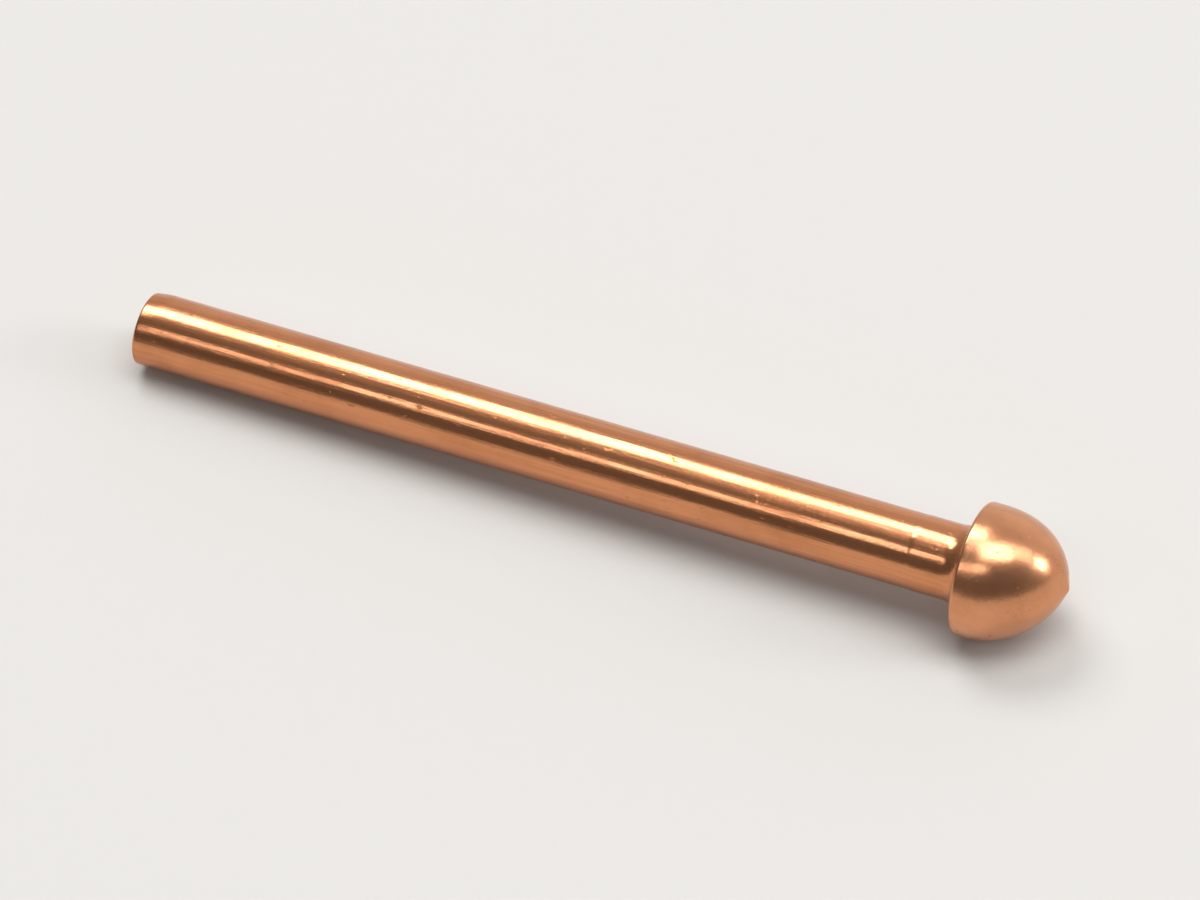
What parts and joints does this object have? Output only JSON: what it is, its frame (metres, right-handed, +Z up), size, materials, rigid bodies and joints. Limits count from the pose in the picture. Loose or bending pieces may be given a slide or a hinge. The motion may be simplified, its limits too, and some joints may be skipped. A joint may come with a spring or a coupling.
{
  "type": "weld stud",
  "caption": "Copper-plated steel weld stud: a plain drawn-wire shank with a sheared end and a cold-headed dome that comes to a conical welding tip.",
  "frame": {"origin": "centre of the bounding box's bottom, on the surface that the stud lies on", "axes": "+X along the stud from its sheared end to its welding tip, leaned up by under two degrees because the head is wider than the shank, and +Z up"},
  "size_m": [0.0334, 0.0046, 0.0046],
  "materials": {
    "copper_plate": "bright copper plating over drawn and cold-headed steel"
  },
  "bodies": {
    "root": {"weld_stud": "copper_plate"}
  },
  "joints": []
}
